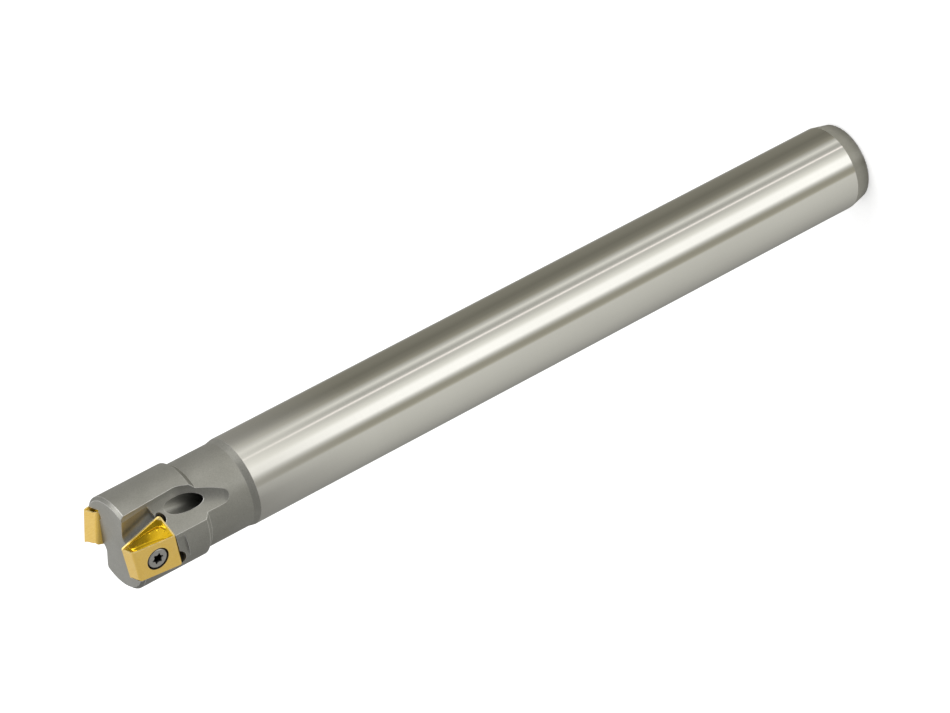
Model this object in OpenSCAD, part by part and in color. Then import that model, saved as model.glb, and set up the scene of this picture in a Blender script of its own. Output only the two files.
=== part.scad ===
// Indexable shoulder end mill: a plain ground shank, a slimmer neck and a two-flute head with two
// on-edge cutting inserts, each held by one countersunk screw.
// Frame: Z runs along the tool axis, the origin is the middle of the shank's end face and the cutting
// end is up. The two sides of the head are alike, half a turn apart, and the tool cuts clockwise as
// seen from the shank.

/* [Lengths] */
// Overall length, from the shank's end face to the cutting corners
overall_l = 160; // [130:1:250]
// How far the cutting corners stand ahead of the head's front face
corner_lead = 1.4; // [1.2:0.1:2]
// Length of the head, from its front face back to the cone
head_l = 13.4; // [12.8:0.1:15]
// Length of the cone between the head and the neck
cone_l = 0.9; // [0.5:0.1:2]
// Length of the slim neck
neck_l = 8.4; // [7:0.1:20]
// Length of the step from the neck to the ground shank
step_l = 1.25; // [0.6:0.05:3]
// Length of the long chamfer at the shank's end
lead_in_l = 3.4; // [1:0.1:6]

/* [Diameters] */
// Diameter of the ground shank
shank_d = 16; // [15.8:0.1:20]
// Diameter of the neck
neck_d = 15.5; // [15:0.1:15.8]
// Diameter of the head behind the inserts
head_d = 16.9; // [16.6:0.05:17.2]
// Diameter that the cutting corners sweep
cut_d = 18.2; // [17.8:0.1:18.6]
// How much the long chamfer takes off the shank's radius
lead_in_depth = 0.72; // [0.2:0.02:1.5]
// Chamfer round the head's front face
face_chamfer = 0.55; // [0.2:0.05:0.8]

/* [Coolant] */
// Diameter of the coolant bore along the shank
bore_d = 5; // [3:0.1:6]
// Chamfer at the mouth of the coolant bore
bore_chamfer = 0.5; // [0.2:0.1:1]
// Diameter of the two coolant outlets
outlet_d = 3; // [1.5:0.1:3]
// Angle between an outlet and the tool axis
outlet_angle = 22; // [20:0.5:30]
// Distance from the front face back to where an outlet opens in its gullet
outlet_back = 12.5; // [12.2:0.1:14]
// Sideways offset of an outlet in its gullet
outlet_shift = 1.6; // [0.8:0.1:1.9]

/* [Insert] */
// Length of an insert along the tool
insert_l = 8.3; // [8:0.05:8.6]
// Thickness of an insert, across the tool
insert_t = 4.2; // [3.6:0.05:4.4]
// Mean width of an insert between its two rake faces
insert_w = 6.7; // [6.4:0.05:7]
// How far the cutting corners rise above the mean rake face
corner_rise = 0.98; // [0.6:0.02:1.1]
// Radius down the four corners of an insert
nose_r = 0.7; // [0.2:0.1:0.8]
// Width of the narrow land along a cutting edge
edge_land = 0.22; // [0.1:0.02:0.4]
// Depth of the chip groove behind the land
groove_depth = 0.34; // [0.1:0.02:0.5]
// Forward lean of an insert in its pocket
insert_tilt = 7; // [4:0.5:9]
// Direction that the insert's screw face looks, round the tool axis
seat_angle = 45; // [0:1:90]
// Sideways offset of the insert from the seat direction
insert_side = 0.38; // [0.2:0.02:0.6]

/* [Screw] */
// Outer diameter of the clamping screw's thread
screw_d = 2.5; // [2:0.1:2.6]
// Diameter of the screw's head
screw_head_d = 3.6; // [3.3:0.1:3.8]
// Half of the cone angle below the screw's head, also that of its seat in the insert
cone_half = 30; // [25:1:40]
// How far the head lies below the insert's face
screw_sink = 0.05; // [0.02:0.01:0.2]
// Length of the screw from the top of its head
screw_l = 6.2; // [5.5:0.1:6.4]
// Width of the six-lobed socket across its lobes
socket_d = 2.1; // [1.8:0.1:2.4]
// Depth of the socket
socket_depth = 1.1; // [0.6:0.1:1.3]
// Diameter of the hole through an insert
hole_d = 3; // [2.8:0.1:3.2]
// Diameter of the countersink in an insert
sink_d = 4.2; // [4:0.1:4.4]

/* [Gullet] */
// How far the gullet's wall lies inboard of the insert's seat
wall_inset = 0.8; // [0.6:0.05:1.2]
// Angle by which the gullet's wall flares towards the shank
wall_flare = 2.2; // [0:0.1:3]
// Radius in the bottom of the trough beside the insert
trough_r = 1.3; // [0.8:0.1:1.6]
// Angle by which the trough's wall leans outwards
trough_draft = 7; // [2:0.5:9]
// Angle by which the trough's wall flares towards the shank
trough_flare = 1.3; // [0:0.1:3]
// How far the foot of the trough's wall lies inboard of the main wall
trough_undercut = 0.32; // [0.2:0.02:0.5]
// Length of the trough, from the insert's front end
trough_l = 8.4; // [7:0.1:9]
// How far the trough's floor lies below the insert's inner edge
floor_drop = 0.15; // [0.1:0.05:0.4]
// How far the land behind the insert lies below its rake face
land_drop = 0.3; // [0.2:0.05:0.5]
// Radius of the mill that leaves the gullet's corner and its rounded run-out
runout_r = 3.5; // [3:0.1:4]
// Distance from the front face back to where the run-out turns outwards
runout_bend = 10.6; // [10:0.1:11.5]
// Distance from the front face back to the end of the run-out
runout_back = 17.6; // [16.5:0.1:18]
// How far the run-out swings outwards between its bend and its end
runout_swing = 2.9; // [2:0.1:3.5]

/* [Pocket] */
// Radius of the relief along the seat and the back wall
back_relief_r = 0.85; // [0.7:0.05:1.3]
// Radius of the relief along the seat and the side wall
side_relief_r = 0.85; // [0.7:0.05:1.2]
// Radius of the relief round the insert's idle corner
idle_relief_r = 1.85; // [1.75:0.05:2]
// Clearance between the side wall and the insert
wall_gap = 0.05; // [0.04:0.01:0.1]
// Extra room at the front of the side wall
front_gap = 0.5; // [0.2:0.05:0.6]
// Depth of the flat round the pocket below the insert's face
flat_drop = 0.05; // [0.02:0.01:0.2]
// How far that flat runs behind the insert
flat_back = 1.6; // [1:0.1:2]

/* [Hidden] */
$fn = 64;

steel = [0.70, 0.69, 0.66];
gold = [0.85, 0.68, 0.25];
screw_grey = [0.50, 0.50, 0.48];

shank_r = shank_d / 2;
neck_r = neck_d / 2;
head_r = head_d / 2;
front_z = overall_l - corner_lead;
head_z = front_z - head_l;
cone_z = head_z - cone_l;
neck_z = cone_z - neck_l;
shank_z = neck_z - step_l;

// Half sizes of an insert: across the tool, and along it
hx = insert_t / 2;
hz = insert_l / 2;
corner_y = insert_w / 2 + corner_rise;
edge_angle = atan(corner_rise / hz);

// The insert's centre: its cutting corner, where the nose radius ends, lies on the cutting diameter,
// and the corner's tip lies at the overall length
nose_y = corner_y - nose_r * corner_rise / hz;
nose_side = insert_side + nose_y * cos(insert_tilt) - (hz - nose_r) * sin(insert_tilt);
insert_out = sqrt(cut_d * cut_d / 4 - nose_side * nose_side) - hx;
insert_z = overall_l - corner_y * sin(insert_tilt) - hz * cos(insert_tilt);
seat_x = insert_out - hx;

// The screw's head: a rim, then a cone that seats in the insert up to the radius seat_r. cone_u is
// the depth below the insert's face at which the cone has the radius r.
head_rim = 0.35;
seat_r = screw_head_d / 2 - 0.1;
function cone_u(r) = screw_sink + head_rim + (screw_head_d / 2 - r) / tan(cone_half);

// The land behind the insert: its slope is that of the insert's back edge
land_slope = atan(corner_rise / hx);
land_turn = 90 - land_slope;
back_side = insert_side + insert_w / 2 * cos(insert_tilt) + hz * sin(insert_tilt);
land_d = insert_out * cos(land_turn) + back_side * sin(land_turn) - land_drop;
wall_x = seat_x - wall_inset;
outlet_z = front_z - outlet_back;

// The gullet's wall leans by wall_flare, and the cut runs along the line where wall and land meet
cut_lean = atan(sin(wall_flare) / tan(land_turn));
cut_open = 180 - acos(cos(wall_flare) * cos(land_turn));

// The path of the run-out's round nose: a bend where it cuts a hair deeper than wall and land, then
// slantwise
deeper = 0.03;
bend_in = runout_r - deeper;
bend_z = front_z - runout_bend;
bend_x = wall_x - runout_bend * tan(wall_flare) + bend_in / cos(wall_flare);
bend_y = ((land_d + bend_in) * cos(land_turn) - bend_x) / sin(land_turn);
end_y = bend_y - runout_swing;
end_z = front_z - runout_back;
bend_angle = atan2(bend_y - end_y, bend_z - end_z);
runout_run = norm([bend_y - end_y, bend_z - end_z]);
bore_top = outlet_z - land_d / tan(outlet_angle) + bore_d / 2;

// Places of the pocket's reliefs, inwards from the insert's seat, idle rake face and rear edge
back_relief_in = [0.5, 0.1];
side_relief_in = [0.35, -0.1];
idle_relief_in = [0.35, 0.95];

// The part of the side wall, at its front and inner side, that has the extra room
front_room = [0.7, 1.8];

// How far the threaded hole runs on below the screw
drill_past = 0.95;

// How far the pocket's side wall is cut beyond the insert's screw face
side_past = 3;

// Reach of the cuts that leave the body, and of those that stay beside one insert
far = 30;
pocket_far = 12;
eps = 0.01;

// One of the two alike sides: k is 0 or 1
module side(k) {
    rotate([0, 0, seat_angle + 180 * k]) children();
}

// The frame of an insert: x points out along its screw, y to the rake face that cuts, z ahead
module at_insert() {
    translate([insert_out, insert_side, insert_z]) rotate([insert_tilt, 0, 0]) children();
}

// The frame of the land: x points out of it, y is across and z along the tool
module at_land() {
    rotate([0, 0, land_turn]) translate([land_d, 0, 0]) children();
}

// Turned outline of the body, half of its section
module body_outline() {
    rim = 0.3;
    polygon([
        [0, 0], [shank_r - lead_in_depth - rim, 0], [shank_r - lead_in_depth, rim],
        [shank_r, lead_in_l], [shank_r, shank_z],
        [neck_r, neck_z], [neck_r, cone_z],
        [head_r, head_z], [head_r, front_z - face_chamfer],
        [head_r - face_chamfer, front_z], [0, front_z]
    ]);
}

// Coolant bore with its mouth chamfer and the drill's cone at its end
module coolant_bore() {
    drill_lean = 31;
    rotate_extrude() polygon([
        [0, -eps], [bore_d / 2 + bore_chamfer, -eps], [bore_d / 2 + bore_chamfer, 0],
        [bore_d / 2, bore_chamfer], [bore_d / 2, bore_top], [0, bore_top + bore_d / 2 * tan(drill_lean)]
    ]);
}

// One coolant outlet, from the bore to the land of its gullet and out past it
module coolant_outlet() {
    run = land_d / sin(outlet_angle);
    past = 8;
    at_land() translate([0, -outlet_shift, outlet_z]) rotate([0, outlet_angle, 0])
        translate([0, 0, -run]) cylinder(d = outlet_d, h = run + past);
}

// Section of a cut with a wall along +y and a floor at an angle below +x, and a true arc between.
// The corner of wall and floor is at the origin.
module corner_section(open_angle, r) {
    reach = r / tan(open_angle / 2);
    dir = [sin(open_angle), cos(open_angle)];
    mid = [cos(90 - open_angle / 2), sin(90 - open_angle / 2)];
    polygon([[0, reach], [0, far], [far, far], far * dir, reach * dir]);
    translate(mid * r / sin(open_angle / 2)) circle(r = r);
}

// The main cut: the flared wall, the sloping land behind the insert and the round corner between
module land_cut() {
    wall_y = (land_d - wall_x * cos(land_turn)) / sin(land_turn);
    translate([wall_x, wall_y, front_z]) rotate([0, wall_flare, 0]) rotate([cut_lean, 0, 0])
        translate([0, 0, -runout_bend / cos(wall_flare)]) linear_extrude(far)
            corner_section(cut_open, runout_r);
}

// The trough inboard of the insert: its floor follows the insert's inner edge down to the front, its
// wall leans and flares a little
module trough_cut() {
    floor_y = insert_w / 2 * cos(edge_angle) - floor_drop;
    open = 90 + trough_draft;
    at_insert() rotate([edge_angle, 0, 0]) translate([wall_x - insert_out, floor_y, hz])
        rotate([0, trough_flare, -trough_draft]) translate([-trough_undercut, 0, -trough_l])
            linear_extrude(far) corner_section(open, trough_r);
}

// The round-nosed run-out: from a ball at the bend it swings outwards over the neck, and the land
// reaches as far back on its open side, a hair deeper towards its end
module runout_cut() {
    overlap = 1;
    floor_lean = 0.1;
    at_land() {
        translate([bend_in, end_y, end_z]) rotate([-bend_angle, 0, 0]) rotate_extrude() difference() {
            union() {
                square([runout_r, runout_run]);
                circle(r = runout_r);
                translate([0, runout_run]) circle(r = runout_r);
            }
            translate([-far, -far]) square([far, 3 * far]);
        }
        translate([0, 0, bend_z + overlap / 2]) rotate([0, floor_lean, 0])
            translate([0, 0, -bend_z - overlap / 2]) rotate([0, 90, 0]) mirror([1, 0, 0])
                linear_extrude(far) polygon([[bend_z + overlap, bend_y], [bend_z, bend_y],
                    [end_z, end_y], [end_z, -far], [bend_z + overlap, -far]]);
    }
}

// Height of the plain twisted rake face above the middle of the insert
function saddle(x, z) = insert_w / 2 + corner_rise * (x / hx) * (z / hz);

// Chip groove: from the land along the inner edge to a ridge that runs slantwise over the face, and
// up to a rim along the rear edge
ridge_in = 0.6;
ridge_out = 0.5;
rear_run = 0.7;
front_run = 1.5;
function ridge(z) = -hx + ridge_in + (hx - ridge_out) * (hz - z) / (2 * hz);
function rise(d, w) = d <= 0 ? 0 : d >= w ? 1 : pow(sin(90 * d / w), 2);
function groove(x, z) =
    let (a = -hx + edge_land, b = ridge(z))
    (x > a && x < b) ? groove_depth * pow(sin(180 * (x - a) / (b - a)), 2)
        * rise(hz + z - edge_land, rear_run) * rise(hz - z - edge_land, front_run) : 0;
function rake(x, z) = saddle(x, z) - groove(x, z) - groove(-x, -z);
function even_out(v) = 1.25 * v - 0.25 * pow(v, 3);

// A block whose +y and -y faces are height fields over a grid; the lower is the upper turned
// half round about x
function grid_index(i, j, m) = i * (m + 1) + j;
function grid_faces(n, m, flip, base) = [
    for (i = [0 : n - 1], j = [0 : m - 1], k = [0, 1])
        let (
            a = base + grid_index(i, j, m), b = base + grid_index(i + 1, j, m),
            c = base + grid_index(i + 1, j + 1, m), d = base + grid_index(i, j + 1, m),
            t = k == 0 ? [a, b, c] : [a, c, d]
        ) flip ? [t[2], t[1], t[0]] : t
];

module rake_block() {
    n = 16;
    m = 18;
    over = 0.05;
    xs = [for (i = [0 : n]) (hx + over) * even_out(2 * i / n - 1)];
    zs = [for (j = [0 : m]) (hz + over) * even_out(2 * j / m - 1)];
    top = [for (i = [0 : n], j = [0 : m]) [xs[i], rake(xs[i], zs[j]), zs[j]]];
    low = [for (i = [0 : n], j = [0 : m]) [xs[i], -rake(xs[i], -zs[j]), zs[j]]];
    base = (n + 1) * (m + 1);
    polyhedron(
        points = concat(top, low),
        faces = concat(
            grid_faces(n, m, false, 0), grid_faces(n, m, true, base),
            [concat([for (j = [0 : m]) grid_index(0, j, m)],
                [for (j = [m : -1 : 0]) base + grid_index(0, j, m)])],
            [concat([for (j = [m : -1 : 0]) grid_index(n, j, m)],
                [for (j = [0 : m]) base + grid_index(n, j, m)])],
            [concat([for (i = [n : -1 : 0]) grid_index(i, 0, m)],
                [for (i = [0 : n]) base + grid_index(i, 0, m)])],
            [concat([for (i = [0 : n]) grid_index(i, m, m)],
                [for (i = [n : -1 : 0]) base + grid_index(i, m, m)])]
        )
    );
}

// Outline of an insert seen on its rake face: a rectangle with four round corners
module insert_outline() {
    square([2 * (hx - nose_r), 2 * hz], center = true);
    square([2 * hx, 2 * (hz - nose_r)], center = true);
    for (sx = [-1, 1], sz = [-1, 1]) translate([sx * (hx - nose_r), sz * (hz - nose_r)])
        circle(r = nose_r);
}

module insert() {
    at_insert() difference() {
        intersection() {
            rake_block();
            rotate([90, 0, 0]) linear_extrude(4 * insert_w, center = true) insert_outline();
        }
        for (s = [0, 1]) mirror([s, 0, 0]) sink();
    }
}

// Screw hole in a screw face of an insert: the clearance round the head, the seat of the head's
// cone and the plain hole
module sink() {
    lip = 0.2;
    above = hx + 1;
    rotate([0, 90, 0]) rotate_extrude() polygon([
        [0, -eps], [hole_d / 2, -eps], [hole_d / 2, hx - cone_u(hole_d / 2)],
        [seat_r, hx - cone_u(seat_r)], [seat_r + lip, hx - cone_u(seat_r)],
        [sink_d / 2, hx], [sink_d / 2, above], [0, above]
    ]);
}

// Pocket of an insert: seat, back wall, twisted side wall and the reliefs in its corners
module pocket() {
    at_insert() {
        side_wall_block(wall_gap, hx + side_past, -hz);
        side_wall_block(front_gap, hx - front_room[0], hz - front_room[1]);
        translate([-hx + back_relief_in[0], -corner_y, -hz + back_relief_in[1]])
            rotate([-90, 0, 0]) cylinder(r = back_relief_r, h = far);
        translate([-hx + side_relief_in[0], -insert_w / 2 + side_relief_in[1], -hz])
            cylinder(r = side_relief_r, h = far);
        translate([-hx, -insert_w / 2 + idle_relief_in[0], -hz + idle_relief_in[1]])
            rotate([0, 90, 0]) cylinder(r = idle_relief_r, h = far);
        translate([hx - flat_drop, -pocket_far / 2, -hz - flat_back])
            cube([far, pocket_far, far]);
        rotate([0, 90, 0]) translate([0, 0, hx - screw_sink - screw_l - drill_past])
            cylinder(d = screw_d, h = far);
    }
}

// Room of the pocket above a side wall that follows the insert's idle rake face
module side_wall_block(gap, x1, z0) {
    n = 8;
    m = 10;
    ahead = 2;
    z1 = hz + ahead;
    xs = [for (i = [0 : n]) -hx + (x1 + hx) * i / n];
    zs = [for (j = [0 : m]) z0 + (z1 - z0) * j / m];
    top = [for (i = [0 : n], j = [0 : m]) [xs[i], pocket_far, zs[j]]];
    low = [for (i = [0 : n], j = [0 : m]) [xs[i], -saddle(xs[i], -zs[j]) - gap, zs[j]]];
    base = (n + 1) * (m + 1);
    corners = [[0, 0], [n, 0], [n, m], [0, m]];
    polyhedron(
        points = concat(top, low),
        faces = concat(
            [[for (c = corners) grid_index(c[0], c[1], m)]],
            grid_faces(n, m, true, base),
            [concat([grid_index(0, 0, m), grid_index(0, m, m)],
                [for (j = [m : -1 : 0]) base + grid_index(0, j, m)])],
            [concat([grid_index(n, m, m), grid_index(n, 0, m)],
                [for (j = [0 : m]) base + grid_index(n, j, m)])],
            [concat([grid_index(n, 0, m), grid_index(0, 0, m)],
                [for (i = [0 : n]) base + grid_index(i, 0, m)])],
            [concat([grid_index(0, m, m), grid_index(n, m, m)],
                [for (i = [n : -1 : 0]) base + grid_index(i, m, m)])]
        )
    );
}

// One clamping screw with its conical head and six-lobed socket
module clamp_screw() {
    top = hx - screw_sink;
    thread_r = screw_d / 2;
    head_chamfer = 0.1;
    end_chamfer = 0.3;
    end = top - screw_l;
    at_insert() rotate([0, 90, 0]) difference() {
        rotate_extrude() polygon([
            [0, end], [thread_r - end_chamfer, end], [thread_r, end + end_chamfer],
            [thread_r, hx - cone_u(thread_r)], [screw_head_d / 2, top - head_rim],
            [screw_head_d / 2, top - head_chamfer], [screw_head_d / 2 - head_chamfer, top], [0, top]
        ]);
        translate([0, 0, top - socket_depth]) linear_extrude(socket_depth + eps) lobe_socket();
    }
}

// Section of the six-lobed socket
module lobe_socket() {
    dent_r = 0.22 * socket_d;
    waist_r = 0.36 * socket_d;
    difference() {
        circle(d = socket_d);
        for (a = [30 : 60 : 330]) rotate(a) translate([waist_r + dent_r, 0]) circle(r = dent_r);
    }
}

module cutter_body() {
    color(steel) difference() {
        rotate_extrude() body_outline();
        coolant_bore();
        for (k = [0, 1]) side(k) {
            land_cut();
            trough_cut();
            runout_cut();
            pocket();
            coolant_outlet();
        }
    }
}

module insert_a() {
    color(gold) side(0) insert();
}

module insert_b() {
    color(gold) side(1) insert();
}

module clamp_screws() {
    color(screw_grey) for (k = [0, 1]) side(k) clamp_screw();
}

cutter_body();
insert_a();
insert_b();
clamp_screws();
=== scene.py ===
"""Indexable end mill in a plain pale studio, seen from the photograph's viewpoint."""
import math

import bmesh
import bpy
from mathutils import Matrix, Vector

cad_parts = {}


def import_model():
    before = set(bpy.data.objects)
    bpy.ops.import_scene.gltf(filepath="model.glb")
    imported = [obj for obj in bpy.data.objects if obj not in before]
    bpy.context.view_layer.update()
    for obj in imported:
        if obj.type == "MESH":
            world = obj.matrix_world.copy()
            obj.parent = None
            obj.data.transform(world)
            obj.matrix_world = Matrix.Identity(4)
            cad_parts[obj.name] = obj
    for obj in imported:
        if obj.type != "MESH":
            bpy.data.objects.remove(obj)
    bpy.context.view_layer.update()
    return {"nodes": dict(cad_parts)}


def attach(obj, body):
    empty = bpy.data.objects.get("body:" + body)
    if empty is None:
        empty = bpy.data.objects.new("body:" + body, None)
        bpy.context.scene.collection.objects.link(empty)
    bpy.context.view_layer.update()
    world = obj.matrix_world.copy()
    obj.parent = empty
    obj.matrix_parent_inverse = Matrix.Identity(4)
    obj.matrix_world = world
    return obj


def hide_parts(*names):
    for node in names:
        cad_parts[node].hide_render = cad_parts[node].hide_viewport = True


MM = 0.001

# Sizes repeated from the part's source, in millimetres and degrees
HX, HZ = 2.1, 4.15
INSERT_W, CORNER_RISE, NOSE_R = 6.7, 0.98, 0.7
SEAT_ANGLE, INSERT_TILT, INSERT_SIDE = 45.0, 7.0, 0.38
CUT_R, OVERALL_L = 9.1, 160.0
HOLE_R, SINK_R = 1.5, 2.1
SCREW_SINK, SCREW_HEAD_R, HEAD_RIM, CONE_HALF = 0.05, 1.8, 0.35, 30.0
SHANK_R, CHAMFER_L, SHANK_TOP = 8.0, 3.4, 134.65

# Derived as in the source
CORNER_Y = INSERT_W / 2 + CORNER_RISE
NOSE_Y = CORNER_Y - NOSE_R * CORNER_RISE / HZ
_TILT = math.radians(INSERT_TILT)
NOSE_SIDE = INSERT_SIDE + NOSE_Y * math.cos(_TILT) - (HZ - NOSE_R) * math.sin(_TILT)
INSERT_OUT = math.sqrt(CUT_R ** 2 - NOSE_SIDE ** 2) - HX
INSERT_Z = OVERALL_L - CORNER_Y * math.sin(_TILT) - HZ * math.cos(_TILT)
SEAT_R = SCREW_HEAD_R - 0.1
_SLOPE = math.tan(math.radians(CONE_HALF))
SEAT_DEPTH = SCREW_SINK + HEAD_RIM + (SCREW_HEAD_R - SEAT_R) / _SLOPE
CONE_DEPTH = SCREW_SINK + HEAD_RIM + (SCREW_HEAD_R - HOLE_R) / _SLOPE

# Finer forms of the inserts, in millimetres: radius of the honed edges and of the idle corners,
# hollow of the short edges, lean, width and fading of the land beside the inner edge
EDGE_HONE, IDLE_R, EDGE_DIP = 0.09, 0.45, 0.2
LAND_LEAN, LAND_WIDTH, LAND_FADE = 0.16, 0.34, 1.1

# Bumps of a chip face: shares from front to rear and across, then radius and height
BUMPS = ((0.79, 0.45, 0.33, 0.10), (0.885, 0.62, 0.28, 0.08),
         (0.62, 0.36, 0.26, 0.05), (0.905, 0.80, 0.22, 0.06))

# Pale parts of a chip face, a paler gold that is partly a painted highlight: width along its rim,
# and reach of the painted highlight at its raised corners
RIM, RAISED_HIGHLIGHT = 0.28, 1.2

# Material slots of an insert
FLANK, CHIP_FACE, RECESS, PALE = range(4)

# Where the ramps of the studio's cards start, and where a turn is counted from, in degrees from +X
# towards +Y
CARDS_FROM, TURN_FROM = -75.0, -90.0

# Tints of the cards
WARM, OLIVE, ROSE = (1.0, 0.995, 0.935), (1.0, 0.965, 0.80), (1.0, 0.95, 0.92)
SOFT, GREY = (1.0, 1.0, 0.98), (1.0, 0.99, 0.94)


# Helpers for node materials

def new_material(name):
    """An empty node material with its output, and a function that adds a node with settings."""
    mat = bpy.data.materials.new(name)
    mat.use_nodes = True
    tree = mat.node_tree
    tree.nodes.clear()

    def add(kind, **settings):
        node = tree.nodes.new(kind)
        for key, value in settings.items():
            if key == "inputs":
                for socket, given in value.items():
                    node.inputs[socket].default_value = given
            else:
                setattr(node, key, value)
        return node

    out = add("ShaderNodeOutputMaterial")
    return mat, tree, add, out


def link(tree, source, target):
    tree.links.new(source, target)


def noise(tree, add, scale, detail, turn=(0.0, 0.0, 0.0)):
    """Noise over object coordinates. With a scale that differs by axis its grain runs one way."""
    place = add("ShaderNodeTexCoord")
    mapping = add("ShaderNodeMapping", inputs={"Scale": scale, "Rotation": turn})
    link(tree, place.outputs["Object"], mapping.inputs["Vector"])
    node = add("ShaderNodeTexNoise", inputs={"Scale": 1.0, "Detail": detail, "Roughness": 0.55})
    link(tree, mapping.outputs["Vector"], node.inputs["Vector"])
    return node.outputs["Fac"]


def even(scale):
    """The same scale along all three axes."""
    return (scale, scale, scale)


def ramp(tree, add, factor, stops):
    """Colour ramp through (position, colour) stops."""
    node = add("ShaderNodeValToRGB")
    elements = node.color_ramp.elements
    while len(elements) < len(stops):
        elements.new(0.5)
    for element, (position, colour) in zip(elements, stops):
        element.position = position
        element.color = (*colour, 1.0)
    link(tree, factor, node.inputs["Fac"])
    return node.outputs["Color"]


def map_range(tree, add, value, low, high, to_low, to_high):
    node = add("ShaderNodeMapRange", inputs={1: low, 2: high, 3: to_low, 4: to_high})
    link(tree, value, node.inputs["Value"])
    return node.outputs["Result"]


def bump(tree, add, height, strength, distance, normal=None):
    node = add("ShaderNodeBump", inputs={"Strength": strength, "Distance": distance})
    link(tree, height, node.inputs["Height"])
    if normal is not None:
        link(tree, normal, node.inputs["Normal"])
    return node.outputs["Normal"]


def mix_colour(tree, add, factor, a, b):
    """Mix of two colours, each a socket or a plain (red, green, blue)."""
    node = add("ShaderNodeMix", data_type="RGBA")
    link(tree, factor, node.inputs["Factor"])
    for socket, value in (("A", a), ("B", b)):
        target = [s for s in node.inputs if s.name == socket and s.type == "RGBA"][0]
        if isinstance(value, tuple):
            target.default_value = (*value, 1.0)
        else:
            link(tree, value, target)
    return [s for s in node.outputs if s.type == "RGBA"][0]


def math_node(tree, add, operation, a, b=None):
    node = add("ShaderNodeMath", operation=operation)
    for socket, value in zip(node.inputs, (a, b)):
        if isinstance(value, (int, float)):
            socket.default_value = value
        elif value is not None:
            link(tree, value, socket)
    return node.outputs["Value"]


def place_parts(tree, add):
    """Object coordinates, whole and split."""
    place = add("ShaderNodeTexCoord").outputs["Object"]
    parts = add("ShaderNodeSeparateXYZ")
    link(tree, place, parts.inputs["Vector"])
    return place, parts.outputs


def edge_mask(tree, add, radius, low, high):
    """Where a bevelled normal turns away from the true one: the edges of a piece, which are painted
    paler, partly as wear and partly as a painted highlight.
    """
    bevel = add("ShaderNodeBevel", samples=6, inputs={"Radius": radius})
    plain = add("ShaderNodeNewGeometry")
    dot = add("ShaderNodeVectorMath", operation="DOT_PRODUCT")
    link(tree, bevel.outputs["Normal"], dot.inputs[0])
    link(tree, plain.outputs["Normal"], dot.inputs[1])
    return map_range(tree, add, dot.outputs["Value"], high, low, 0.0, 1.0), bevel.outputs["Normal"]


def painted_cavity_shade(tree, add, distance, darkest):
    """Painted shade: darkens a colour in deep corners and hollows, where less light reaches."""
    near = add("ShaderNodeAmbientOcclusion", samples=8, inputs={"Distance": distance})
    return map_range(tree, add, near.outputs["AO"], 0.20, 0.90, darkest, 1.0)


def dimmed(tree, add, colour, factor):
    node = add("ShaderNodeVectorMath", operation="SCALE")
    link(tree, colour, node.inputs[0])
    link(tree, factor, node.inputs["Scale"])
    return node.outputs["Vector"]


# Materials

def body_steel():
    """The body: a bright ground shank between a matte end chamfer and a satin neck and head."""
    mat, tree, add, out = new_material("body_steel")
    station = place_parts(tree, add)[1]["Z"]

    # The change between ground and satin steel lies just inside the chamfer's edge
    foot, soft = CHAMFER_L - 0.01, 0.03
    above = map_range(tree, add, station, (foot - soft) * MM, (foot + soft) * MM, 0.0, 1.0)
    low, high = (SHANK_TOP - soft) * MM, (SHANK_TOP + soft) * MM
    below = map_range(tree, add, station, low, high, 1.0, 0.0)
    ground = math_node(tree, add, "MULTIPLY", above, below)
    edges, soft_normal = edge_mask(tree, add, 0.20 * MM, 0.93, 0.9995)

    rings = noise(tree, add, (40.0, 40.0, 5200.0), 3.0)
    cloud = noise(tree, add, (90.0, 90.0, 40.0), 2.0)
    bright = add("ShaderNodeBsdfPrincipled", inputs={"Metallic": 1.0, "IOR": 1.5})
    tone = ramp(tree, add, cloud, [(0.35, (0.765, 0.755, 0.715)), (0.65, (0.80, 0.79, 0.75))])
    link(tree, tone, bright.inputs["Base Color"])
    link(tree, map_range(tree, add, rings, 0.3, 0.7, 0.07, 0.13), bright.inputs["Roughness"])
    link(tree, bump(tree, add, rings, 0.12, 0.002 * MM, soft_normal), bright.inputs["Normal"])

    # The satin steel is duller and olive on the end chamfer
    fine = noise(tree, add, even(6000.0), 3.0)
    patch = noise(tree, add, (260.0, 260.0, 200.0), 3.0)
    satin = add("ShaderNodeBsdfPrincipled", inputs={"IOR": 1.5})
    low, high = (CHAMFER_L - 0.1) * MM, (CHAMFER_L + 0.1) * MM
    link(tree, map_range(tree, add, station, low, high, 0.2, 0.8), satin.inputs["Metallic"])
    plain = ramp(tree, add, patch, [(0.3, (0.41, 0.405, 0.365)), (0.7, (0.46, 0.455, 0.415))])
    past_chamfer = map_range(tree, add, station, low, high, 0.0, 1.0)
    tone = mix_colour(tree, add, past_chamfer, (0.335, 0.325, 0.275), plain)
    speckled = dimmed(tree, add, tone, map_range(tree, add, fine, 0.3, 0.7, 0.86, 1.12))
    # Paler edges: partly wear, partly a painted highlight
    worn_and_highlit = mix_colour(tree, add, edges, speckled, (1.0, 0.99, 0.95))
    # Painted shade in corners and hollows of the head
    shade = painted_cavity_shade(tree, add, 3.0 * MM, 0.40)
    link(tree, dimmed(tree, add, worn_and_highlit, shade), satin.inputs["Base Color"])
    link(tree, map_range(tree, add, fine, 0.3, 0.7, 0.36, 0.46), satin.inputs["Roughness"])
    link(tree, bump(tree, add, fine, 0.2, 0.01 * MM, soft_normal), satin.inputs["Normal"])

    mix = add("ShaderNodeMixShader")
    link(tree, ground, mix.inputs["Fac"])
    link(tree, satin.outputs["BSDF"], mix.inputs[1])
    link(tree, bright.outputs["BSDF"], mix.inputs[2])
    link(tree, mix.outputs["Shader"], out.inputs["Surface"])
    return mat


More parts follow.
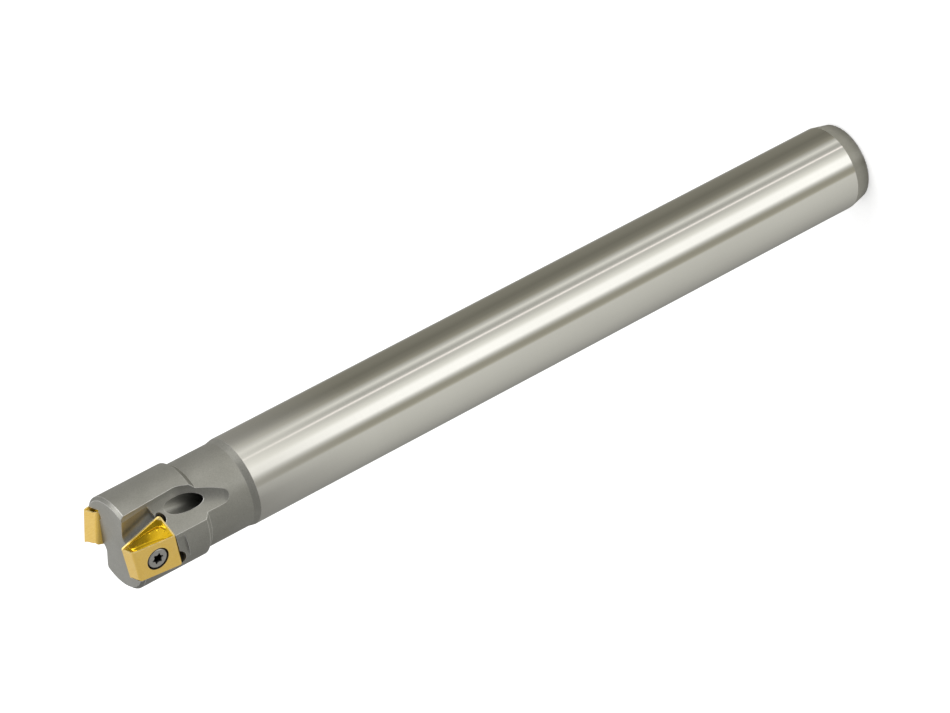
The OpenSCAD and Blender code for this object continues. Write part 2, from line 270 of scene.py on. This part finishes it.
def gold_flank():
    """Gold-coloured coating over a ground flank, with fine marks along the insert's width."""
    mat, tree, add, out = new_material("gold_flank")
    turn = (0.0, 0.0, -math.radians(SEAT_ANGLE))
    lines = noise(tree, add, (9000.0, 500.0, 9000.0), 3.0, turn)
    broad = noise(tree, add, even(700.0), 2.0)
    edges, soft_normal = edge_mask(tree, add, 0.12 * MM, 0.90, 0.999)
    shader = add("ShaderNodeBsdfPrincipled", inputs={"Metallic": 0.15, "IOR": 1.5})
    fine = ramp(tree, add, lines, [(0.35, (0.80, 0.51, 0.08)), (0.65, (0.91, 0.63, 0.15))])
    cloudy = map_range(tree, add, broad, 0.35, 0.65, 0.0, 0.35)
    tone = mix_colour(tree, add, cloudy, fine, (0.85, 0.58, 0.17))
    # Paler edges: partly wear, partly a painted highlight
    worn_and_highlit = mix_colour(tree, add, edges, tone, (0.95, 0.72, 0.34))
    link(tree, worn_and_highlit, shader.inputs["Base Color"])
    link(tree, map_range(tree, add, lines, 0.3, 0.7, 0.30, 0.40), shader.inputs["Roughness"])
    link(tree, bump(tree, add, lines, 0.25, 0.004 * MM, soft_normal), shader.inputs["Normal"])
    link(tree, shader.outputs["BSDF"], out.inputs["Surface"])
    return mat


def gold_rake(name, deep, light, metallic):
    """The same coating on the pressed chip faces, glossier, between a deep and a light tone."""
    mat, tree, add, out = new_material(name)
    broad = noise(tree, add, even(600.0), 1.0)
    shader = add("ShaderNodeBsdfPrincipled", inputs={"Metallic": metallic, "IOR": 1.5})
    tone = ramp(tree, add, broad, [(0.3, deep), (0.7, light)])
    link(tree, tone, shader.inputs["Base Color"])
    link(tree, map_range(tree, add, broad, 0.3, 0.7, 0.22, 0.30), shader.inputs["Roughness"])
    link(tree, bump(tree, add, broad, 0.3, 0.02 * MM), shader.inputs["Normal"])
    link(tree, shader.outputs["BSDF"], out.inputs["Surface"])
    return mat


def painted_recess_shade():
    """The countersink of an insert, painted nearly black as the shade in its deep, narrow gap."""
    mat, tree, add, out = new_material("painted_recess_shade")
    broad = noise(tree, add, even(1500.0), 3.0)
    shader = add("ShaderNodeBsdfPrincipled", inputs={"Metallic": 0.3, "IOR": 1.5})
    tone = ramp(tree, add, broad, [(0.3, (0.020, 0.014, 0.008)), (0.7, (0.040, 0.028, 0.014))])
    link(tree, tone, shader.inputs["Base Color"])
    link(tree, map_range(tree, add, broad, 0.3, 0.7, 0.5, 0.6), shader.inputs["Roughness"])
    link(tree, shader.outputs["BSDF"], out.inputs["Surface"])
    return mat


def screw_steel():
    """Satin screw head, with painted shade, near black, deep in its socket. Depth is measured along
    the seat direction, which is the same line for both screws."""
    mat, tree, add, out = new_material("screw_steel")
    place = add("ShaderNodeTexCoord")
    along = add("ShaderNodeVectorMath", operation="DOT_PRODUCT")
    link(tree, place.outputs["Object"], along.inputs[0])
    seat = math.radians(SEAT_ANGLE)
    along.inputs[1].default_value = (math.cos(seat), math.sin(seat), 0.0)
    reach = math_node(tree, add, "ABSOLUTE", along.outputs["Value"])

    # Painted shade: black from 0.30 mm below the head's face, and bare down to 0.12 mm below it
    head = INSERT_OUT + HX - SCREW_SINK
    deep = map_range(tree, add, reach, (head - 0.30) * MM, (head - 0.12) * MM, 1.0, 0.0)
    fine = noise(tree, add, even(5000.0), 3.0)
    shader = add("ShaderNodeBsdfPrincipled", inputs={"Metallic": 0.8, "IOR": 1.5})
    tone = ramp(tree, add, fine, [(0.3, (0.56, 0.55, 0.52)), (0.7, (0.66, 0.65, 0.62))])
    colour = mix_colour(tree, add, deep, tone, (0.012, 0.011, 0.010))
    link(tree, colour, shader.inputs["Base Color"])
    link(tree, map_range(tree, add, fine, 0.3, 0.7, 0.30, 0.42), shader.inputs["Roughness"])
    link(tree, bump(tree, add, fine, 0.2, 0.006 * MM), shader.inputs["Normal"])
    link(tree, shader.outputs["BSDF"], out.inputs["Surface"])
    return mat


# Inserts

def saddle(x, z):
    """Height of the twisted face itself, as in the source."""
    return INSERT_W / 2 + CORNER_RISE * (x / HX) * (z / HZ)


def smooth(value, low, high):
    t = min(max((value - low) / (high - low), 0.0), 1.0)
    return t * t * (3.0 - 2.0 * t)


def chip_groove(x, z):
    """Depth of the chip groove beside the inner edge. u runs from front to rear, v across. The
    groove lies between the land and a ridge that moves outwards to the rear."""
    u = (HZ - z) / (2 * HZ)
    v = (x + HX) / (2 * HX)
    start = 0.085
    ridge = 0.06 + 0.42 * u + 0.30 * smooth(u, 0.82, 0.95)
    if v <= start or v >= ridge:
        return 0.0
    across = (v - start) / (ridge - start)
    profile = math.sin(math.pi * across ** 0.8) ** 2
    ends = smooth(u, 0.10, 0.30) * (1.0 - smooth(u, 0.86, 0.965))
    return (0.13 + 0.44 * u) * profile * ends


def land(x, z):
    """Keeps the narrow land beside the inner edge at one lean, instead of the twist of the face."""
    d = x + HX
    lean = -LAND_LEAN - CORNER_RISE / HX * z / HZ
    if d < LAND_WIDTH:
        return lean * d
    return lean * LAND_WIDTH * (1.0 - smooth(d, LAND_WIDTH, LAND_WIDTH + LAND_FADE))


def bumps(x, z):
    """Small chip-breaking bumps where the ridge meets the rear rim."""
    height = 0.0
    for back, across, radius, top in BUMPS:
        cx, cz = -HX + 2 * HX * across, HZ - 2 * HZ * back
        d = math.hypot(x - cx, z - cz) / radius
        if d < 1.0:
            height += top * math.cos(math.pi / 2 * d) ** 2
    return height


def rake(x, z):
    """Height of a chip face. It looks the same after half a turn about the face's normal."""
    dip = EDGE_DIP * (1.0 - (x / HX) ** 2) * (z / HZ) ** 6
    return (saddle(x, z) - dip + land(x, z) + land(-x, -z)
            - chip_groove(x, z) - chip_groove(-x, -z) + bumps(x, z) + bumps(-x, -z))


def pale(x, z):
    """Whether a chip face is pale at a point: along its rim, partly as a painted highlight, and
    wider at its raised corners, where the pale patch is a painted highlight.
    """
    from_x, from_z = HX - abs(x), HZ - abs(z)
    return min(from_x, from_z) < RIM or (x * z > 0 and from_x + from_z < RAISED_HIGHLIGHT)


def rounded(a, b, half_a, half_b, radius):
    """Moves a point of a rectangle's grid so that the rectangle's corners become round."""
    da, db = abs(a) - (half_a - radius), abs(b) - (half_b - radius)
    if da <= 0 or db <= 0:
        return a, b
    p, q = da / radius, db / radius
    na, nb = p * math.sqrt(1 - q * q / 2), q * math.sqrt(1 - p * p / 2)
    return (math.copysign(half_a - radius + na * radius, a),
            math.copysign(half_b - radius + nb * radius, b))


def grid_line(half, radius, inner, outer):
    """Stations from -half to half: inner steps between the corner zones, outer ones in each."""
    mid = [-(half - radius) + 2 * (half - radius) * i / inner for i in range(inner + 1)]
    end = [half - radius + radius * i / outer for i in range(1, outer + 1)]
    return [-e for e in reversed(end)] + mid + end


def insert_block():
    """An insert without its holes, about its own centre: two chip faces and ground flanks."""
    xs = grid_line(HX, NOSE_R, inner=44, outer=10)
    zs = grid_line(HZ, NOSE_R, inner=84, outer=10)
    n, m = len(xs), len(zs)
    bm = bmesh.new()
    top, low = {}, {}
    for i, x in enumerate(xs):
        for j, z in enumerate(zs):
            px, pz = rounded(x, z, HX, HZ, NOSE_R if x * z > 0 else IDLE_R)
            top[i, j] = bm.verts.new((px, rake(px, pz), pz))
            px, pz = rounded(x, z, HX, HZ, NOSE_R if x * z < 0 else IDLE_R)
            low[i, j] = bm.verts.new((px, -rake(px, -pz), pz))
    for i in range(n - 1):
        for j in range(m - 1):
            x, z = (xs[i] + xs[i + 1]) / 2, (zs[j] + zs[j + 1]) / 2
            a = bm.faces.new((top[i, j], top[i, j + 1], top[i + 1, j + 1], top[i + 1, j]))
            b = bm.faces.new((low[i, j], low[i + 1, j], low[i + 1, j + 1], low[i, j + 1]))
            a.material_index = PALE if pale(x, z) else CHIP_FACE
            b.material_index = PALE if pale(x, -z) else CHIP_FACE
    ring = ([(i, 0) for i in range(n - 1)] + [(n - 1, j) for j in range(m - 1)]
            + [(i, m - 1) for i in range(n - 1, 0, -1)] + [(0, j) for j in range(m - 1, 0, -1)])
    for here, there in zip(ring, ring[1:] + ring[:1]):
        bm.faces.new((top[here], top[there], low[there], low[here]))
    bmesh.ops.recalc_face_normals(bm, faces=bm.faces)

    sharp = [e for e in bm.edges if e.calc_face_angle(0.0) > math.radians(50)
             and {f.material_index for f in e.link_faces} == {FLANK, PALE}]
    bmesh.ops.bevel(bm, geom=sharp, offset=EDGE_HONE, segments=3, profile=0.5, affect="EDGES",
                    clamp_overlap=True, material=PALE)
    return bm


def object_from(bm, name, mats):
    """Turns a bmesh into an object of the scene."""
    mesh = bpy.data.meshes.new(name)
    bm.to_mesh(mesh)
    bm.free()
    for mat in mats:
        mesh.materials.append(mat)
    obj = bpy.data.objects.new(name, mesh)
    bpy.context.scene.collection.objects.link(obj)
    return obj


def lathe_cutter(mat):
    """A closed turned body through the insert along x, with a countersink at both ends. It stands
    past the insert's flanks, and a small step lies round the screw's seat."""
    steps, past, step = 96, 0.5, 0.2
    half = [(HX - CONE_DEPTH, HOLE_R), (HX - SEAT_DEPTH, SEAT_R), (HX - SEAT_DEPTH, SEAT_R + step),
            (HX, SINK_R), (HX + past, SINK_R)]
    outline = half + [(HX + past, 0.0), (-HX - past, 0.0)] + [(-x, r) for x, r in reversed(half)]
    turns = [2 * math.pi * k / steps for k in range(steps)]
    bm = bmesh.new()
    rows = [[bm.verts.new((x, r * math.cos(t), r * math.sin(t))) for t in turns] if r
            else [bm.verts.new((x, 0.0, 0.0))] for x, r in outline]
    for a, b in zip(rows, rows[1:] + rows[:1]):
        for k in range(steps):
            c = (k + 1) % steps
            if len(a) > 1 and len(b) > 1:
                bm.faces.new((a[k], a[c], b[c], b[k]))
            elif len(a) > 1:
                bm.faces.new((a[k], a[c], b[0]))
            elif len(b) > 1:
                bm.faces.new((a[0], b[k], b[c]))
    bmesh.ops.recalc_face_normals(bm, faces=bm.faces)
    return object_from(bm, "cutter", [mat])


def insert_mesh(name, side, mats):
    """One insert as a fine mesh, with its screw hole, in its pocket."""
    piece = object_from(insert_block(), name, mats)
    cutter = lathe_cutter(mats[RECESS])
    carve = piece.modifiers.new("holes", "BOOLEAN")
    carve.operation, carve.solver, carve.object = "DIFFERENCE", "EXACT", cutter
    carve.material_mode = "TRANSFER"
    bpy.context.view_layer.update()
    carved = bpy.data.meshes.new_from_object(
        piece.evaluated_get(bpy.context.evaluated_depsgraph_get()))
    piece.modifiers.clear()
    piece.data = carved
    bpy.data.objects.remove(cutter)

    place = (Matrix.Rotation(math.radians(SEAT_ANGLE + 180 * side), 4, "Z")
             @ Matrix.Translation((INSERT_OUT, INSERT_SIDE, INSERT_Z))
             @ Matrix.Rotation(math.radians(INSERT_TILT), 4, "X"))
    carved.transform(Matrix.Scale(MM, 4) @ place)
    smooth_shade(carved, 35)
    return piece


def smooth_shade(mesh, angle):
    """Smooth faces, with sharp edges between materials, and above an angle except on chip faces."""
    bm = bmesh.new()
    bm.from_mesh(mesh)
    for face in bm.faces:
        face.smooth = True
    for edge in bm.edges:
        kinds = {face.material_index for face in edge.link_faces}
        edge.smooth = kinds <= {CHIP_FACE, PALE} or (
            len(kinds) == 1 and edge.calc_face_angle(math.pi) < math.radians(angle))
    bm.to_mesh(mesh)
    bm.free()


# Studio

def camera():
    """The photograph's viewpoint: the tool lies across the picture, cutting end low on the left."""
    right = Vector((0.465262, 0.392169, -0.793559))
    up = Vector((-0.885173, 0.206130, -0.417107))
    back = Vector((0.0, 0.896501, 0.443042))
    place = Vector((0.290, 693.077, 426.401)) * MM
    data = bpy.data.cameras.new("camera")
    data.sensor_width = 36.0
    data.lens = 170.15
    data.clip_start, data.clip_end = 0.01, 20.0
    obj = bpy.data.objects.new("camera", data)
    bpy.context.scene.collection.objects.link(obj)
    turn = Matrix((right, up, back)).transposed().to_4x4()
    obj.matrix_world = Matrix.Translation(place) @ turn
    bpy.context.scene.camera = obj


def floor():
    """A wide pale floor below the tool. The camera sees it as plain white, with a trace of the
    tool's shadow. Polished metal sees the studio's bright and dark cards laid round the tool."""
    mesh = bpy.data.meshes.new("floor")
    half = 3.0
    corners = [(-half, -half, 0), (half, -half, 0), (half, half, 0), (-half, half, 0)]
    mesh.from_pydata(corners, [], [(0, 1, 2, 3)])
    obj = bpy.data.objects.new("floor", mesh)
    bpy.context.scene.collection.objects.link(obj)

    mat, tree, add, out = new_material("floor")
    path = add("ShaderNodeLightPath")
    diffuse = add("ShaderNodeBsdfDiffuse", inputs={"Color": (0.9, 0.9, 0.9, 1.0)})
    glow = add("ShaderNodeEmission", inputs={"Color": (1.0, 1.0, 1.0, 1.0), "Strength": 0.42})
    white = add("ShaderNodeAddShader")
    link(tree, diffuse.outputs["BSDF"], white.inputs[0])
    link(tree, glow.outputs["Emission"], white.inputs[1])
    cards = add("ShaderNodeEmission", inputs={"Strength": 1.0})
    link(tree, floor_cards(tree, add), cards.inputs["Color"])
    last = diffuse.outputs["BSDF"]
    for ray, shade in (("Is Camera Ray", white.outputs["Shader"]),
                       ("Is Glossy Ray", cards.outputs["Emission"])):
        last = by_ray(tree, add, path.outputs[ray], last, shade)
    link(tree, last, out.inputs["Surface"])
    mesh.materials.append(mat)


def by_ray(tree, add, ray, other, shade):
    """One shader for a kind of ray, and another for the rest."""
    mix = add("ShaderNodeMixShader")
    link(tree, ray, mix.inputs["Fac"])
    link(tree, other, mix.inputs[1])
    link(tree, shade, mix.inputs[2])
    return mix.outputs["Shader"]


def around(tree, add, turn, stops):
    """Colour by direction round the tool, through (degrees, brightness, tint) stops."""
    shift = 1.0 - (CARDS_FROM - TURN_FROM) / 360.0
    share = math_node(tree, add, "FRACT", math_node(tree, add, "ADD", turn, shift))
    return ramp(tree, add, share, [((degrees - CARDS_FROM) / 360.0, tuple(level * c for c in tint))
                                   for degrees, level, tint in stops])


def side_turn(tree, add, turn, reach):
    """Direction of a card as the shank's side sees it, which is off the axis by its radius. The
    surface there faces halfway between camera and card, and a few rounds find the direction."""
    ratio = math_node(tree, add, "DIVIDE", SHANK_R * MM, reach)
    near = math_node(tree, add, "MINIMUM", ratio, 0.98)
    seen = turn
    for _ in range(4):
        side = math_node(tree, add, "COSINE", math_node(tree, add, "MULTIPLY", seen, math.pi))
        lean = math_node(tree, add, "ARCSINE", math_node(tree, add, "MULTIPLY", side, near))
        back = math_node(tree, add, "MULTIPLY", lean, -0.5 / math.pi)
        seen = math_node(tree, add, "ADD", turn, back)
    return seen


def floor_cards(tree, add):
    """The cards in three rings: beside the shank, beside the head, and towards the studio's
    walls. One ring fades into the next over a range of distance from the axis, in metres."""
    shank_to_head, head_to_walls = (0.25, 0.36), (0.7, 1.1)
    inner = [(-75, 0.32, WARM), (-65.5, 0.29, WARM), (-38.5, 0.40, WARM), (-11, 0.51, WARM),
             (20, 0.60, WARM), (47.5, 0.66, WARM), (52, 0.43, OLIVE), (57, 0.36, OLIVE),
             (64, 0.36, OLIVE), (70.5, 0.56, WARM), (79.5, 1.26, SOFT), (96, 1.26, SOFT),
             (104.5, 0.92, WARM), (115, 0.68, WARM), (122, 0.58, WARM), (123.5, 1.15, ROSE),
             (126.5, 1.15, ROSE), (128, 0.52, WARM), (135.5, 0.48, WARM), (144.5, 0.86, WARM),
             (152, 0.56, WARM), (160, 0.34, OLIVE), (172.5, 0.23, OLIVE), (189, 0.19, OLIVE),
             (208, 0.23, OLIVE), (239.5, 0.25, OLIVE), (253.5, 0.36, WARM), (270, 0.38, WARM)]
    middle = [(-75, 0.28), (-60, 0.25), (-40, 0.23), (-20, 0.22), (0, 0.20), (20, 0.22),
              (40, 0.36), (60, 0.45), (80, 0.80), (100, 0.99), (120, 0.99), (140, 0.92),
              (160, 0.75), (180, 0.46), (200, 0.36), (230, 0.34), (260, 0.35)]
    outer = [(-75, 0.42), (0, 0.42), (30, 0.38), (60, 0.23), (90, 0.15), (120, 0.31),
             (150, 0.47), (200, 0.50), (270, 0.43)]
    place, parts = place_parts(tree, add)
    length = add("ShaderNodeVectorMath", operation="LENGTH")
    link(tree, place, length.inputs[0])
    reach = length.outputs["Value"]
    angle = math_node(tree, add, "ARCTAN2", parts["Y"], parts["X"])
    share = math_node(tree, add, "MULTIPLY", angle, 0.5 / math.pi)
    shifted = math_node(tree, add, "ADD", share, 1.0 - TURN_FROM / 360.0)
    turn = math_node(tree, add, "FRACT", shifted)

    last = around(tree, add, side_turn(tree, add, turn, reach), inner)
    for (near, far), ring in ((shank_to_head, middle), (head_to_walls, outer)):
        colour = around(tree, add, turn, [(degrees, level, GREY) for degrees, level in ring])
        last = mix_colour(tree, add, map_range(tree, add, reach, near, far, 0.0, 1.0), last, colour)
    return last


def world():
    """Even white light. The camera sees white, and polished metal a darker room."""
    sky = bpy.data.worlds.new("studio")
    bpy.context.scene.world = sky
    sky.use_nodes = True
    tree = sky.node_tree
    tree.nodes.clear()
    path = tree.nodes.new("ShaderNodeLightPath")
    out = tree.nodes.new("ShaderNodeOutputWorld")

    def background(strength):
        shade = tree.nodes.new("ShaderNodeBackground")
        shade.inputs["Color"].default_value = (1.0, 1.0, 1.0, 1.0)
        shade.inputs["Strength"].default_value = strength
        return shade.outputs["Background"]

    last = background(0.72)
    for ray, strength in (("Is Glossy Ray", 0.18), ("Is Camera Ray", 1.0)):
        last = by_ray(tree, tree.nodes.new, path.outputs[ray], last, background(strength))
    link(tree, last, out.inputs["Surface"])


def softbox(name, place, size, power):
    """A rectangular lamp that faces the tool's head."""
    data = bpy.data.lights.new(name, "AREA")
    data.shape = "RECTANGLE"
    data.size, data.size_y = size
    data.energy = power
    obj = bpy.data.objects.new(name, data)
    bpy.context.scene.collection.objects.link(obj)
    obj.location = place
    obj.rotation_mode = "QUATERNION"
    facing = Vector((0.0, 0.0, 0.14)) - Vector(place)
    obj.rotation_quaternion = facing.to_track_quat("-Z", "Y")


def main():
    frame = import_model()
    bpy.context.scene.view_settings.view_transform = "Standard"
    camera()
    floor()
    world()
    softbox("key", (-0.95, 0.59, 0.60), (0.75, 0.85), 3.6)
    softbox("top", (-0.80, 0.07, 1.03), (0.6, 0.6), 2.4)
    softbox("back", (-0.26, -0.98, 0.80), (1.1, 1.1), 1.75)

    nodes = frame["nodes"]
    for name, mat in (("cutter_body", body_steel()), ("clamp_screws", screw_steel())):
        mesh = nodes[name].data
        mesh.materials.clear()
        mesh.materials.append(mat)
    mats = {FLANK: gold_flank(),
            CHIP_FACE: gold_rake("gold_rake", (0.88, 0.54, 0.015), (0.97, 0.62, 0.03), 0.92),
            # Painted shade, nearly black, in the countersinks
            RECESS: painted_recess_shade(),
            # Pale rim and raised corners: paler gold, partly a painted highlight
            PALE: gold_rake("gold_rim_highlight", (0.95, 0.70, 0.22), (1.0, 0.78, 0.32), 0.45)}
    for side, letter in enumerate("ab"):
        piece = insert_mesh("coated_insert_" + letter, side, [mats[k] for k in sorted(mats)])
        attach(piece, "root")
        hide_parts("insert_" + letter)


main()
